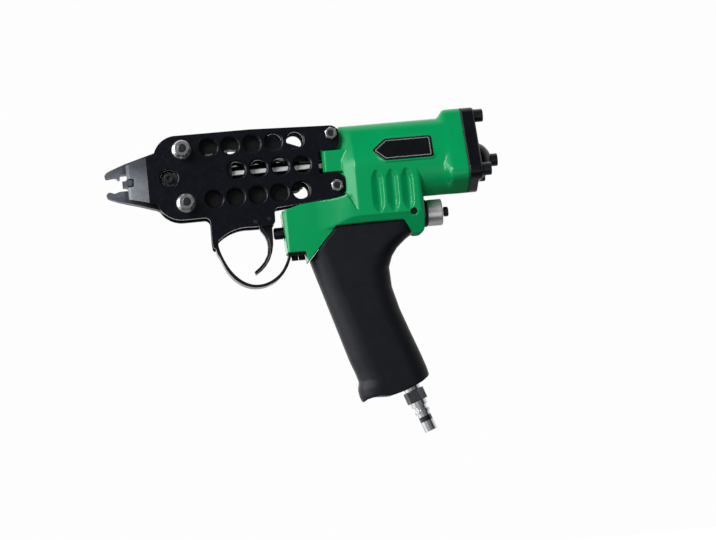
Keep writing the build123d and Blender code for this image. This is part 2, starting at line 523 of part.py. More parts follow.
# ear bolts through both plates and the housing's front block
ebolts, enuts = [], []
for ex, ez in EARS:
    ebolts.append(cy(-18.7, PLATE_OUT, 2.5, ex, ez) + hexy(PLATE_OUT, PLATE_OUT + 3.6, 8.0, ex, ez, 10))
    n = hexy(-PLATE_OUT - 4.2, -PLATE_OUT, 8.2, ex, ez, 22)
    rim = Pos(ex, -PLATE_OUT - 4.2, ez) * Rot(-90, 0, 0) * Cone(3.9, 5.2, 1.3, align=(C, C, MN))
    n = n & (rim + cy(-PLATE_OUT - 2.9, -PLATE_OUT, 5.2, ex, ez))
    enuts.append(n - cy(-40, 0, 2.5, ex, ez))
emit("ear_bolts", *ebolts)
emit("ear_nuts", *enuts)

# ------------------------------------------------- ring anvil and rod guide
anvil = box(-46.0, -5.0, -10.8, 10.8, -3.1, 1.1) + box(-46.0, -38.6, -12.2, 12.2, -3.2, 1.2)
anvil = anvil - box(-60, -43.4, -30, -6.6, -10, 10) - box(-60, -43.4, 6.6, 30, -10, 10)
anvil = anvil + cy(-10.8, 10.8, 5.0, NOSE_HOLE[0], NOSE_HOLE[1]) + box(-7.0, 36.0, -10.8, 10.8, -8.6, 8.6)
anvil = anvil - cx(1.5, 40, ROD_R + 0.06) - cy(-30, 30, 2.0, NOSE_HOLE[0], NOSE_HOLE[1]) - cz(-20, 0, 1.5, 3.2)
emit("ring_anvil", anvil)
ascrews = []
for sgn in (-1, 1):
    s = cy(-10.8, -1.0, 2.0, *NOSE_HOLE) + cy(-14.6, -10.8, 3.5, *NOSE_HOLE)
    s = s - hexy(-15, -12.4, 3.0, *NOSE_HOLE)
    ascrews.append(s if sgn < 0 else mirror(s, about=Plane.XZ))
emit("anvil_screws", *ascrews)

# ------------------------------------------------------------ piston and ram
rod = cx(ROD_TIP_X, 190.0, ROD_R) + cx(190.0, 211.0, 4.0)
rod = rod - rev_x([(ROD_TIP_X - 1, ROD_R - 1.5), (ROD_TIP_X - 1, ROD_R + 1), (ROD_TIP_X + 1.5, ROD_R + 1), (ROD_TIP_X + 1.5, ROD_R)])
rod = rod - box(CAM_X0, CAM_X1, -CAM_T, CAM_T, -10, 10)
CAM_PINS = (85.0, 103.0)
for px in CAM_PINS:
    rod = rod - cy(-10, 10, 1.75, px, 0)
emit("piston_rod", rod)
cam = poly_xz([(CAM_X0, -cam_h(CAM_X0)), (CAM_X1, -cam_h(CAM_X1)), (CAM_X1, cam_h(CAM_X1)), (CAM_X0, cam_h(CAM_X0))], -CAM_T, CAM_T)
for px in CAM_PINS:
    cam = cam - cy(-10, 10, 1.75, px, 0)
emit("cam_plate", cam)
emit("cam_pins", *[cy(-5.2, 5.2, 1.75, px, 0) for px in CAM_PINS])
PIS0, PIS1 = 190.0, 206.0
PIS_R = BORE_R - 0.15
piston = rev_x([(PIS0, 4.0), (PIS0, 12.6), (PIS0 + 2.5, 12.6), (PIS0 + 2.5, PIS_R - 0.8), (PIS0 + 3.2, PIS_R), (PIS0 + 6.0, PIS_R), (PIS0 + 6.0, 13.6),
                (PIS0 + 10.0, 13.6), (PIS0 + 10.0, PIS_R), (PIS1 - 0.8, PIS_R), (PIS1, PIS_R - 0.8), (PIS1, 4.0)])
emit("piston", piston)
emit("piston_seal", tube_x(PIS0 + 6.0, PIS0 + 10.0, BORE_R - 0.04, 13.6))
emit("piston_nut", hexx(PIS1, PIS1 + 4.5, 13.0) - cx(PIS1 - 1, PIS1 + 6, 4.0))
emit("piston_return_spring", coil(134.8, 192.2, 14.6, 1.3, 7))
emit("rod_bushing", tube_x(118.5, 127.0, 10.0, ROD_R + 0.04) + tube_x(127.0, BORE_FRONT, 10.0, 8.5))
emit("rod_seal", tube_x(127.0, 130.6, 8.5, ROD_R + 0.03))
emit("front_bumper", tube_x(BORE_FRONT, 134.6, BORE_R - 0.3, 11.5))
emit("rear_bumper", tube_x(206.6, BODY_REAR, BORE_R - 0.4, 9.5))

# ---------------------------------------------------------- rear cap and vent
x0c = BODY_REAR + GASKET_T
x1c = x0c + CAP_T
cap = extrude(lobe_face(x0c), CAP_T, dir=(1, 0, 0))
gask = extrude(flange_face(BODY_REAR), GASKET_T, dir=(1, 0, 0))
cap = chamfer(cap.faces().sort_by(Axis.X)[-1].outer_wire().edges(), 1.2)
cap = cap + extrude(flange_face(x0c), CAP_T - CAP_STEP, dir=(1, 0, 0))
for by, bz in SCREWS:
    cap = cap - cx(x0c - 1, x1c + 1, 3.2, by, bz)
    gask = gask - cx(BODY_REAR - 1, x0c + 1, 3.2, by, bz)
gask = gask - cx(BODY_REAR - 1, x0c + 1, BORE_R) - cx(BODY_REAR - 1, x0c + 1, 2.0, 0, -25.3)
cap = cap - cx(x0c - 1, x0c + 4.0, 12.0) - cx(x0c - 1, x1c + 1, 3.0, 0, DEFL_Z) - box(x0c - 1, x0c + 3.0, -2, 2, -26.5, -8)
for a in (30, 90, 150, 210, 270, 330):
    cap = cap - cx(x0c - 1, x1c + 1, 1.9, 7.2 * math.cos(math.radians(a)), DEFL_Z + 7.2 * math.sin(math.radians(a)))
emit("rear_cap", cap)
emit("cap_gasket", gask)
WASH = 1.0
emit("cap_washers", *[tube_x(x1c, x1c + WASH, 5.0, 3.2, by, bz) for by, bz in SCREWS])
emit("cap_screws", *[socket_head_x(199.0, x1c + WASH + 6.0, 4.9, 6.0, 3.0, by, bz) for by, bz in SCREWS])
dx0 = x1c + 0.25
defl = rev_x([(dx0, 3.06), (dx0, 5.2), (dx0 + 5.1, 5.2), (dx0 + 5.1, 8.2), (dx0 + 3.0, 11.2), (dx0, 12.0), (dx0, 13.6), (dx0 + 2.0, 13.3), (dx0 + 3.9, 12.3), (dx0 + 5.6, 10.9),
              (dx0 + 7.1, 9.1), (dx0 + 8.6, 6.9), (dx0 + 8.6, 3.06)], 0, DEFL_Z)
for a in (-62, -31, 0, 31, 62):
    ar = math.radians(a)
    hole = Pos(dx0 + 3.0, 0, DEFL_Z) * Rot(a, 0, 0) * cz(-20, -8.5, 1.5)
    defl = defl - hole
emit("exhaust_deflector", defl)
emit("deflector_screw", socket_head_x(x0c + 4.2, dx0 + 8.85 + 5.8, 4.8, 5.8, 3.0, 0, DEFL_Z))

# ------------------------------------------------------------------- valves
emit("main_valve_sleeve", tube_x(127.5, 160.0, 8.5, 6.04, 0, VALVE_Z) - cz(-60, VALVE_Z, 3.0, 132.0) - cz(VALVE_Z, -20, 2.5, 150.0))
emit("main_valve_spool", rev_x([(131.0, 0), (131.0, 5.4), (131.5, 6.0), (137.0, 6.0), (137.5, 3.6), (144.5, 3.6), (145.0, 6.0), (150.5, 6.0), (151.0, 3.6),
                                (153.0, 3.6), (153.5, 6.0), (156.0, 6.0), (156.0, 0)], 0, VALVE_Z))
emit("main_valve_spring", coil(156.3, 164.8, 3.9, 0.5, 4, 0, VALVE_Z))
plug = rev_x([(160.4, 5.2), (160.4, 8.4), (176.8, 8.4), (176.8, 6.2), (179.5, 6.2), (179.5, 9.4), (180.1, 10.0), (190.5, 10.0), (191.2, 9.3), (191.2, 2.8), (192.5, 2.8), (192.5, 2.0), (183.0, 2.0), (183.0, 0),
              (165.0, 0), (165.0, 5.2)], 0, VALVE_Z)
plug = plug - cy(-20, 20, 2.6, 168.4, VALVE_Z + 0.6)
emit("valve_plug", plug)
emit("valve_plug_gasket", rev_x([(176.8, 6.2), (176.8, 9.9), (177.2, 10.3), (179.1, 10.3), (179.5, 9.9), (179.5, 6.2)], 0, VALVE_Z))
emit("valve_plug_screw", rev_x([(183.4, 0), (183.4, 2.0), (192.5, 2.0), (192.5, 3.7), (195.4, 3.7), (196.0, 3.1), (196.0, 0)], 0, VALVE_Z) - hexx(193.9, 198, 3.0, 0, VALVE_Z))
emit("valve_retaining_pin", cy(-19.5, 19.5, 2.6, 168.4, VALVE_Z + 0.6))

emit("trigger_valve_sleeve", tube_x(73.4, 103.6, 6.5, 4.04, 0, TRIG_Z) - cz(-60, TRIG_Z, 2.5, 99.0))
stem = rev_x([(63.3, 0), (63.3, 3.4), (64.4, 4.5), (70.0, 4.5), (70.6, 4.0), (79.0, 4.0), (79.0, 3.0), (81.0, 3.0), (81.0, 4.0), (88.0, 4.0), (88.0, 3.0), (90.0, 3.0), (90.0, 4.0),
              (92.0, 4.0), (92.0, 0)], 0, TRIG_Z)
emit("trigger_valve_stem", stem)
emit("trigger_valve_rings", tube_x(79.0, 81.0, 4.02, 3.0, 0, TRIG_Z), tube_x(88.0, 90.0, 4.02, 3.0, 0, TRIG_Z))
emit("trigger_valve_spring", coil(92.3, 103.2, 2.9, 0.45, 6, 0, TRIG_Z))

# ------------------------------------------------------- trigger and guard
trig = [(53.0, -33.6), (52.4, -36.2), (52.6, -41.5), (53.6, -44.6), (56.3, -48.6), (57.7, -52.6), (58.1, -57.0), (57.2, -62.6), (54.2, -67.9), (50.6, -71.6), (46.3, -74.9),
        (47.4, -77.3), (52.0, -74.3), (55.4, -71.2), (58.6, -66.8), (60.8, -61.5), (62.0, -56.2), (62.4, -50.8), (62.5, -43.6), (64.0, -39.6), (64.2, -36.0), (62.6, -33.6)]
trigger = poly_xz(trig, -6.0, 6.0)
FRONT = trig[2:11]


def on_front(e):
    """Whether an edge lies along the trigger's front curve."""
    return abs(abs(e.center().Y) - 6.0) < 0.01 and any(math.hypot(e.center().X - (a[0] + b[0]) / 2, e.center().Z - (a[1] + b[1]) / 2) < 0.02 for a, b in zip(FRONT, FRONT[1:]))


trigger = chamfer([e for e in trigger.edges() if on_front(e)], 1.9)
trigger = trigger - cy(-10, 10, 1.55, TRIG_PX, TRIG_PZ)
emit("trigger", trigger)
emit("trigger_pivot_pin", cy(-PLATE_OUT - 0.3, PLATE_OUT + 0.3, 1.5, TRIG_PX, TRIG_PZ))
emit("trigger_stop_pin", cy(-PLATE_OUT - 0.3, PLATE_OUT + 0.3, 1.5, 50.2, -38.5))

inner = [(21.1, -44.0), (21.1, -52.0), (22.9, -60.4), (26.6, -69.0), (31.8, -76.6), (38.8, -82.4), (46.0, -84.9), (53.7, -84.4), (61.3, -81.0), (67.1, -75.6), (70.8, -69.4), (72.2, -66.4)]
outer = [(19.0, -44.0), (19.0, -53.0), (20.9, -61.4), (24.8, -70.6), (30.3, -78.7), (37.9, -84.6), (45.8, -87.0), (54.2, -86.5), (62.5, -83.0), (68.7, -77.2), (72.6, -70.7), (73.9, -67.6)]
gw = 10.0
e = [Spline(*[(x, -gw, z) for x, z in inner[1:]], tangents=((0.02, 0, -1), (0.42, 0, 0.9)))]
e.append(ThreePointArc((72.2, -gw, -66.4), (72.5, -gw, -64.6), (73.8, -gw, -63.6)))
e.append(Line((73.8, -gw, -63.6), (85.0, -gw, -63.6)))
e.append(Line((85.0, -gw, -63.6), (85.0, -gw, -65.7)))
e.append(Line((85.0, -gw, -65.7), (74.9, -gw, -65.7)))
e.append(ThreePointArc((74.9, -gw, -65.7), (74.2, -gw, -66.2), (73.9, -gw, -67.6)))
e.append(Spline(*[(x, -gw, z) for x, z in reversed(outer[1:])], tangents=((-0.42, 0, -0.9), (-0.02, 0, 1))))
e.append(Line((19.0, -gw, -53.0), (19.0, -gw, -44.0)))
e.append(Line((19.0, -gw, -44.0), (21.1, -gw, -44.0)))
e.append(Line((21.1, -gw, -44.0), (21.1, -gw, -52.0)))
guard = extrude(make_face(e), 2 * gw, dir=(0, 1, 0))
guard = guard + box(19.0, 21.1, -GAP, GAP, -52.0, -44.0)
for gx in GUARD_SCREW_X:
    guard = guard - cz(-70, -60, 1.6, gx, 0)
emit("trigger_guard", guard)
gs = []
for gx in GUARD_SCREW_X:
    s = cz(-65.7, -57.0, 1.5, gx) + cz(-68.9, -65.7, 2.5, gx)
    s = s - Pos(gx, 0, -69.5) * extrude(RegularPolygon(1.25, 6, major_radius=False), 2.4)
    gs.append(s)
emit("guard_screws", *gs)

# ----------------------------------------------------- nameplate and air plug
emit("nameplate", label_slab(-0.5, 0.35))

pl = plug_cyl(-16.0, 0.5, 6.5) + plug_cyl(0.5, 3.5, 6.2)
pl = pl + Plane(origin=plug_at(3.5), x_dir=(math.cos(pa), 0, math.sin(pa)), z_dir=pdir) * extrude(RegularPolygon(7.0, 6, major_radius=False, rotation=15), 8.7)
pl = pl + plug_cyl(12.2, 16.2, 6.2) + plug_cyl(16.2, 19.2, 4.7) + plug_cyl(19.2, 21.6, 5.9) + plug_cyl(21.6, 36.2, 4.9)
pl = pl - plug_cyl(-20, 40, 3.4) - plug_cyl(30.0, 40.0, 3.9)
emit("air_plug", pl)
bush = plug_cyl(-24.0, -4.5, 8.5) - plug_cyl(-30, 5, 6.5)
emit("inlet_bush", bush)
emit("inlet_washer", plug_cyl(-4.4, -2.2, 9.0) - plug_cyl(-10, 5, 6.5))

# jaw springs: each draws a jaw arm back to the rod guide, so that the tips open
emit("upper_jaw_spring", Pos(SPRING_X, 0, 0) * Rot(0, -90, 0) * coil(8.6, 17.0, 2.5, 0.45, 5))
emit("lower_jaw_spring", Pos(SPRING_X, 0, 0) * Rot(0, 90, 0) * coil(8.6, 16.0, 2.5, 0.45, 5))

# ---------------------------------------------------------------------- write
for f in os.listdir("parts"):
    if f.endswith(".step") and f[:-5] not in NODES:
        os.remove(os.path.join("parts", f))
for name, solids in NODES.items():
    shape = solids[0] if len(solids) == 1 else Compound(children=solids)
    export_step(shape, os.path.join("parts", name + ".step"))
print(len(NODES), "nodes; cam slope", round(math.degrees(math.atan(CAM_TAN)), 3), "roller z", round(ROLL_Z, 3))
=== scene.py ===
import bpy, bmesh, json, math
import numpy as np
from mathutils import Matrix, Vector


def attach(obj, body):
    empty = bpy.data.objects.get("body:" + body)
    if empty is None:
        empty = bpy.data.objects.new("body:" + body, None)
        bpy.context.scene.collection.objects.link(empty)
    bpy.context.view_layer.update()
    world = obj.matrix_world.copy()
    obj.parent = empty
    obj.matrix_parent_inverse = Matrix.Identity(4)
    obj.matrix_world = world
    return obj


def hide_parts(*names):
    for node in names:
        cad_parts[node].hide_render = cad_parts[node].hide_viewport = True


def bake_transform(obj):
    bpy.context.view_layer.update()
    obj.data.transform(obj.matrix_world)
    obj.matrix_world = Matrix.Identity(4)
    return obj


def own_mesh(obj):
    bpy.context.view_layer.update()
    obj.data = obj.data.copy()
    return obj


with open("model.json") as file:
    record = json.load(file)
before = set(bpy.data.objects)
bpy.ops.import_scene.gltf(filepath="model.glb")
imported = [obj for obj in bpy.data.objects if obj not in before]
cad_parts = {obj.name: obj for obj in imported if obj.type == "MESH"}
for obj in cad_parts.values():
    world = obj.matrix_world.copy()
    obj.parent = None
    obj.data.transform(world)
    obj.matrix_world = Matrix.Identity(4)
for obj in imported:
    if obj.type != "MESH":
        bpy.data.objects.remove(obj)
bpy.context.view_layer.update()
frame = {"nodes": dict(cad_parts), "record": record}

nodes, record = frame["nodes"], frame["record"]
SLOT = {s["node"]: s["material_slot"] for s in record["subparts"]}
BODY = {n: b for b, group in record["behaviour"]["bodies"].items() for n in group}
scene = bpy.context.scene
MM = 0.001
LAYOUT = Vector((-126.0, 0.0, 112.0))      # from the layout on the rod axis to the part's own origin


def at(x, y, z):
    """A point of the layout on the rod axis (mm), in the part's frame (m)."""
    return (Vector((x, y, z)) + LAYOUT) * MM


# ------------------------------------------------------------------- camera
look = Vector((0.07825, 0.99424, 0.07324)).normalized()
right = Vector((0.99291, -0.07113, -0.09523))
right = (right - look * right.dot(look)).normalized()
up = right.cross(look)
eye = at(-32.85762, -1992.28886, -226.86916)
cam_data = bpy.data.cameras.new("camera")
cam_data.sensor_width = 36.0
cam_data.lens = 2666.7846 * 36.0 / 716.0
cam_data.clip_start, cam_data.clip_end = 0.05, 60.0
cam = bpy.data.objects.new("camera", cam_data)
scene.collection.objects.link(cam)
cam.matrix_world = Matrix(((right.x, up.x, -look.x, eye.x), (right.y, up.y, -look.y, eye.y), (right.z, up.z, -look.z, eye.z), (0, 0, 0, 1)))
scene.camera = cam
scene.view_settings.view_transform = "Standard"
scene.view_settings.look = "None"
scene.cycles.use_denoising = True


# ------------------------------------------------------------ material tools
class Surface:
    """A principled material whose patterns follow the object's own coordinates, in metres."""

    def __init__(self, name):
        self.m = bpy.data.materials.new(name)
        self.m.use_nodes = True
        self.tree = self.m.node_tree
        self.p = self.tree.nodes["Principled BSDF"]
        self.where = self.node("ShaderNodeTexCoord").outputs["Object"]

    def node(self, kind, **settings):
        n = self.tree.nodes.new(kind)
        for k, v in settings.items():
            setattr(n, k, v)
        return n

    def plug(self, value, socket):
        if isinstance(value, bpy.types.NodeSocket):
            self.tree.links.new(value, socket)
        elif hasattr(value, "__len__") and len(value) == 3 and len(socket.default_value) == 4:
            socket.default_value = (*value, 1.0)
        else:
            socket.default_value = value

    def set(self, **values):
        for k, v in values.items():
            self.plug(v, self.p.inputs[k.replace("_", " ").title().replace("Ior", "IOR")])
        return self

    def stretched(self, scale, turn=(0, 0, 0)):
        n = self.node("ShaderNodeMapping")
        n.inputs["Scale"].default_value = scale
        n.inputs["Rotation"].default_value = turn
        self.plug(self.where, n.inputs["Vector"])
        return n.outputs["Vector"]

    def axis(self, k, of=None):
        n = self.node("ShaderNodeSeparateXYZ")
        self.plug(of or self.where, n.inputs[0])
        return n.outputs[k]

    def noise(self, scale, detail=3.0, rough=0.55, where=None, distortion=0.0):
        n = self.node("ShaderNodeTexNoise")
        self.plug(where or self.where, n.inputs["Vector"])
        n.inputs["Scale"].default_value = scale
        n.inputs["Detail"].default_value = detail
        n.inputs["Roughness"].default_value = rough
        n.inputs["Distortion"].default_value = distortion
        return n.outputs["Fac"]

    def cells(self, scale, where=None, feature="F1"):
        n = self.node("ShaderNodeTexVoronoi", feature=feature)
        self.plug(where or self.where, n.inputs["Vector"])
        n.inputs["Scale"].default_value = scale
        return n.outputs["Distance"]

    def span(self, value, a, b, c, d, smooth=False):
        n = self.node("ShaderNodeMapRange", clamp=True)
        if smooth:
            n.interpolation_type = "SMOOTHSTEP"
        self.plug(value, n.inputs["Value"])
        for k, v in zip(("From Min", "From Max", "To Min", "To Max"), (a, b, c, d)):
            n.inputs[k].default_value = v
        return n.outputs["Result"]

    def mix(self, fac, a, b, kind="MIX"):
        n = self.node("ShaderNodeMix", data_type="RGBA", blend_type=kind)
        self.plug(fac, n.inputs[0])
        self.plug(a, n.inputs[6])
        self.plug(b, n.inputs[7])
        return n.outputs[2]

    def math(self, kind, a, b):
        n = self.node("ShaderNodeMath", operation=kind)
        self.plug(a, n.inputs[0])
        self.plug(b, n.inputs[1])
        return n.outputs[0]

    def bump(self, height, strength, depth, over=None):
        n = self.node("ShaderNodeBump")
        n.inputs["Strength"].default_value = strength
        n.inputs["Distance"].default_value = depth
        self.plug(height, n.inputs["Height"])
        if over is not None:
            self.plug(over, n.inputs["Normal"])
        return n.outputs["Normal"]

    def corners(self, low, high):
        """0 to 1 over the outer edges of a fine mesh."""
        n = self.node("ShaderNodeNewGeometry")
        return self.span(n.outputs["Pointiness"], low, high, 0.0, 1.0)


def painted(name, base, deep, light, rough, spec, peel, edge, speck=0.06, under=False):
    """Paint. edge lightens its corners towards light as a painted highlight. under makes it duller where it faces down.
    """
    s = Surface(name)
    tone = s.span(s.noise(26.0, 3.0, 0.5), 0.3, 0.7, 0.0, 1.0)
    col = s.mix(tone, base, deep)
    col = s.mix(s.span(s.noise(1500.0, 2.0, 0.5), 0.5, 0.75, 0.0, speck), col, light)
    # painted highlight: the corners of a fine mesh lightened towards the light tone, standing in for the shine along
    # the paint's edges
    if edge:
        col = s.mix(s.math("MULTIPLY", s.corners(0.515, 0.57), edge), col, light)
    r = s.span(s.noise(140.0, 4.0, 0.6), 0.3, 0.7, rough[0], rough[1])
    if under:
        down = s.span(s.axis(2, s.node("ShaderNodeTexCoord").outputs["Normal"]), -0.62, -0.90, 0.0, 1.0, True)
        r = s.math("ADD", r, s.math("MULTIPLY", down, 0.5))
    s.set(base_color=col, specular_ior_level=spec)
    s.set(roughness=r)
    h = s.bump(s.noise(520.0, 2.0, 0.45), 0.08 * peel, 0.0004)
    h = s.bump(s.noise(2400.0, 2.0, 0.5), 0.05 * peel, 0.0001, h)
    s.set(normal=h)
    return s.m


def blackened(name, base, worn, rough, metal, streak, spec=0.35, grain=1.0, wear=0.2, ground=None, tip=None):
    """Blackened or dark steel. ground gives the tones of a ground bevel on a nose, painted darker towards its top and
    lighter towards its bottom as shading: (upper, lower).
    tip gives where along the rod axis bare steel ends and where it is all black: (bare, black)."""
    s = Surface(name)
    lines = s.noise(1.0, 4.0, 0.65, where=s.stretched(streak))
    tone = s.span(s.noise(45.0, 4.0, 0.6), 0.3, 0.72, 0.0, 1.0)
    col = s.mix(tone, base, tuple(c * 1.45 for c in base))
    col = s.mix(s.span(lines, 0.55, 0.8, 0.0, wear), col, worn)
    r = s.math("ADD", s.span(s.noise(170.0, 4.0, 0.6), 0.3, 0.7, rough[0], rough[1]), s.span(lines, 0.35, 0.7, -0.03, 0.05))
    m = metal
    if ground:
        face = s.span(s.math("ABSOLUTE", s.axis(1, s.node("ShaderNodeTexCoord").outputs["Normal"]), 0.0), 0.66, 0.74, 0.0, 1.0)
        nose = s.span(s.axis(0), at(-26.95, 0, 0).x, at(-27.15, 0, 0).x, 0.0, 1.0)
        mask = s.math("MULTIPLY", face, nose)
        fine = s.noise(1.0, 4.0, 0.7, where=s.stretched((420.0, 420.0, 5200.0)))
        # painted shading: the ground bevel darker towards its top and lighter towards its bottom, standing in for how
        # light falls on it
        down = s.span(s.axis(2), at(0, 0, 13.0).z, at(0, 0, -6.0).z, 0.0, 1.0, True)
        steel = s.mix(down, ground[0], ground[1])
        steel = s.mix(s.span(fine, 0.35, 0.75, 0.0, 0.5), steel, tuple(c * 0.72 for c in ground[1]))
        steep = s.span(s.math("ABSOLUTE", s.axis(1, s.node("ShaderNodeTexCoord").outputs["Normal"]), 0.0), 0.82, 0.90, 0.55, 0.0)
        steel = s.mix(steep, steel, (0.010, 0.011, 0.014))
        col = s.mix(mask, col, steel)
        r = s.math("ADD", r, s.math("MULTIPLY", mask, 0.10))
        m = s.math("MULTIPLY", mask, 0.4)
    if tip:
        bare = s.span(s.axis(0), at(tip[0], 0, 0).x, at(tip[1], 0, 0).x, 1.0, 0.0, True)
        col = s.mix(bare, s.mix(tone, (0.0013, 0.0016, 0.0024), (0.0021, 0.0025, 0.0034)), col)
        m = s.math("MULTIPLY", bare, metal)
    s.set(base_color=col, metallic=m, specular_ior_level=spec)
    s.set(roughness=r)
    h = s.bump(lines, 0.05 * grain, 0.0002)
    h = s.bump(s.noise(1900.0, 3.0, 0.6), 0.06 * grain, 0.0001, h)
    s.set(normal=h)
    return s.m


def bare_metal(name, base, dark, rough, streak, lines_depth=0.08, stain=0.35, metal=0.85, painted_light_band=None, zones=()):
    """Bare or plated metal. film gives the heights (mm, on the rod axis) of a painted highlight along the rod, with
    painted shade above and below it.
    zones gives darker lengths of the air plug, one of them painted shade: each one's base colour, and where it starts
    and ends along the plug (mm)."""
    s = Surface(name)
    lines = s.noise(1.0, 5.0, 0.7, where=s.stretched(streak))
    cloud = s.noise(120.0, 4.0, 0.6)
    col = s.mix(s.span(cloud, 0.35, 0.75, 0.0, stain), base, dark)
    col = s.mix(s.span(lines, 0.5, 0.85, 0.0, 0.35), col, dark)
    # painted highlight: a bright band on the rod with painted shade above and below it, standing in for the light that
    # reaches it through the plates' holes
    if painted_light_band:
        top = s.span(s.axis(2), at(0, 0, painted_light_band[1] - 0.9).z, at(0, 0, painted_light_band[1]).z, 1.0, 0.0, True)
        low = s.span(s.axis(2), at(0, 0, painted_light_band[0]).z, at(0, 0, painted_light_band[0] + 0.9).z, 0.0, 1.0, True)
        painted_highlight = s.math("MULTIPLY", top, low)
        col = s.mix(painted_highlight, (0.010, 0.011, 0.014), col)
        metal = s.span(painted_highlight, 0.0, 1.0, 0.9, metal)
    for tint, first, last in zones:
        lean = Vector((math.sin(math.radians(19.5)), 0.0, -math.cos(math.radians(19.5))))
        start = at(155.2, 0.0, -170.75).dot(lean)
        along = s.math("ADD", s.math("MULTIPLY", s.axis(0), lean.x), s.math("MULTIPLY", s.axis(2), lean.z))
        inside = s.math("MULTIPLY", s.span(along, start + (first - 0.3) * MM, start + first * MM, 0.0, 1.0), s.span(along, start + last * MM, start + (last + 0.3) * MM, 1.0, 0.0))
        col = s.mix(inside, col, s.mix(s.span(cloud, 0.35, 0.75, 0.0, 1.0), tint, tuple(c * 1.8 for c in tint)))
    s.set(base_color=col, metallic=metal)
    s.set(roughness=s.math("ADD", s.span(cloud, 0.3, 0.7, rough[0], rough[1]), s.span(lines, 0.3, 0.7, -0.04, 0.06)))
    s.set(normal=s.bump(lines, lines_depth, 0.0002))
    return s.m


def moulded(name, base, dusty, rough, grain_scale, grain, sheen=0.0, spec=0.35):
    s = Surface(name)
    cloud = s.noise(60.0, 4.0, 0.6)
    col = s.mix(s.span(cloud, 0.35, 0.75, 0.0, 1.0), base, dusty)
    col = s.mix(s.span(s.noise(grain_scale * 0.5, 2.0, 0.5), 0.5, 0.8, 0.0, 0.3), col, tuple(c * 1.7 for c in dusty))
    s.set(base_color=col, specular_ior_level=spec, sheen_weight=sheen, sheen_roughness=0.4)
    s.set(roughness=s.span(s.noise(210.0, 4.0, 0.6), 0.3, 0.7, rough[0], rough[1]))
    h = s.bump(s.cells(grain_scale), 0.20 * grain, 0.00012)
    h = s.bump(s.noise(90.0, 3.0, 0.5), 0.07 * grain, 0.0006, h)
    s.set(normal=h)
    return s.m


